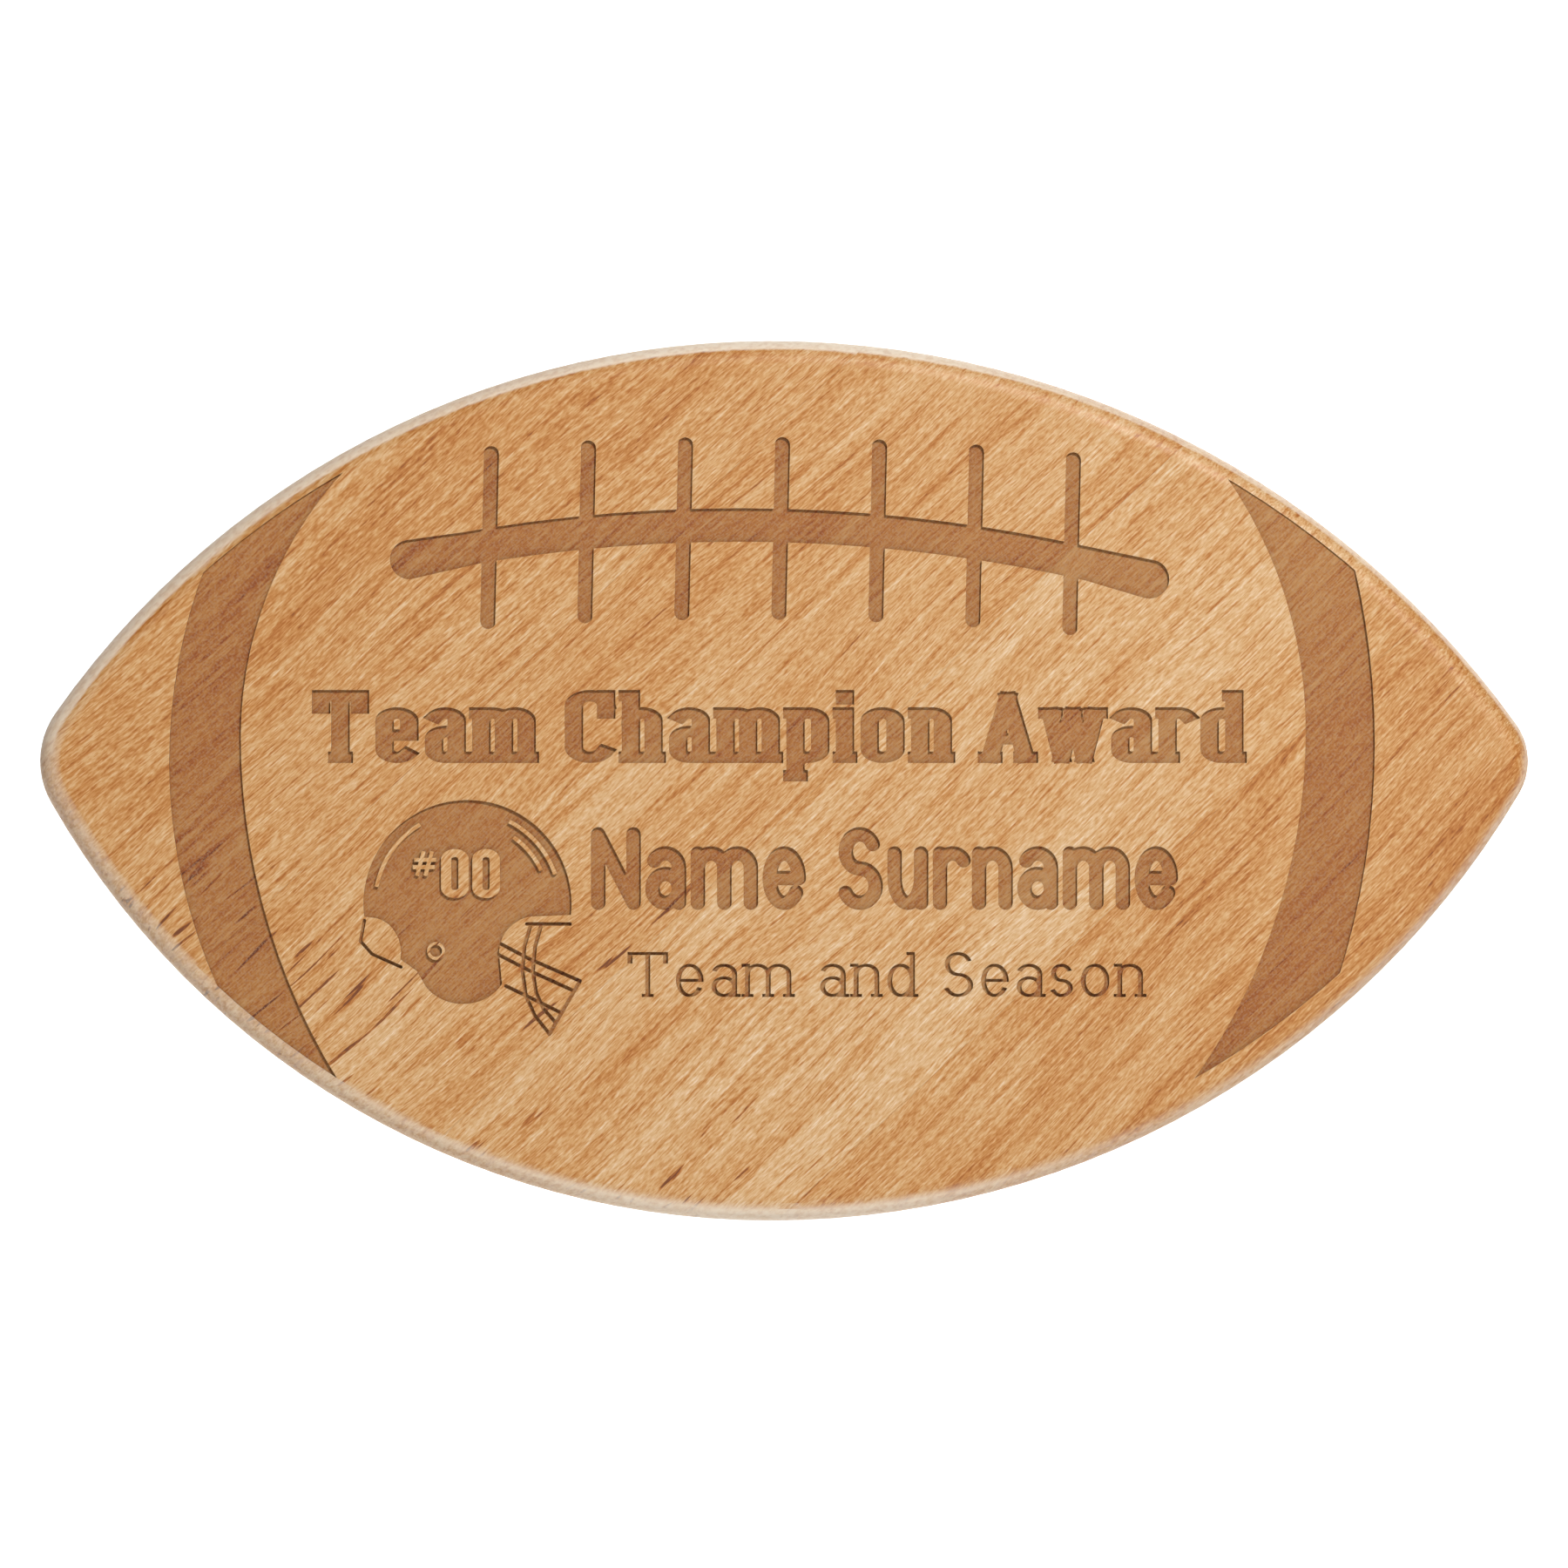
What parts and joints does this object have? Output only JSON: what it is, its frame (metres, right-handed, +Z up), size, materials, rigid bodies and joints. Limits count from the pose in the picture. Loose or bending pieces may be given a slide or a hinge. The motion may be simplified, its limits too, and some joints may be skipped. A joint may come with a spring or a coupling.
{
  "type": "award plaque",
  "caption": "Football-shaped solid wood wall plaque with engraved laces and end stripes, rounded edges and a keyhole hanger on its back.",
  "frame": {"origin": "on the wall plane, at the round end of the keyhole slot where the wall screw carries the plaque", "axes": "+X to the right along the plaque's length as seen from the front, -Y out of the engraved face, +Y into the wall, +Z up as hung"},
  "size_m": [0.2986, 0.0213, 0.1765],
  "materials": {
    "wood": "satin oiled alder, engraved areas darker",
    "plate_steel": "zinc-plated pressed steel",
    "screw_steel": "zinc-plated",
    "bumper_rubber": "matte"
  },
  "bodies": {
    "root": {"stave_upper_left": "wood", "stave_upper_middle": "wood", "stave_lower_middle": "wood", "stave_lower_right": "wood", "keyhole_plate": "plate_steel", "plate_screw_lower": "screw_steel", "plate_screw_upper": "screw_steel", "bumper_upper_left": "bumper_rubber", "bumper_upper_right": "bumper_rubber", "bumper_lower_left": "bumper_rubber", "bumper_lower_right": "bumper_rubber"}
  },
  "joints": []
}
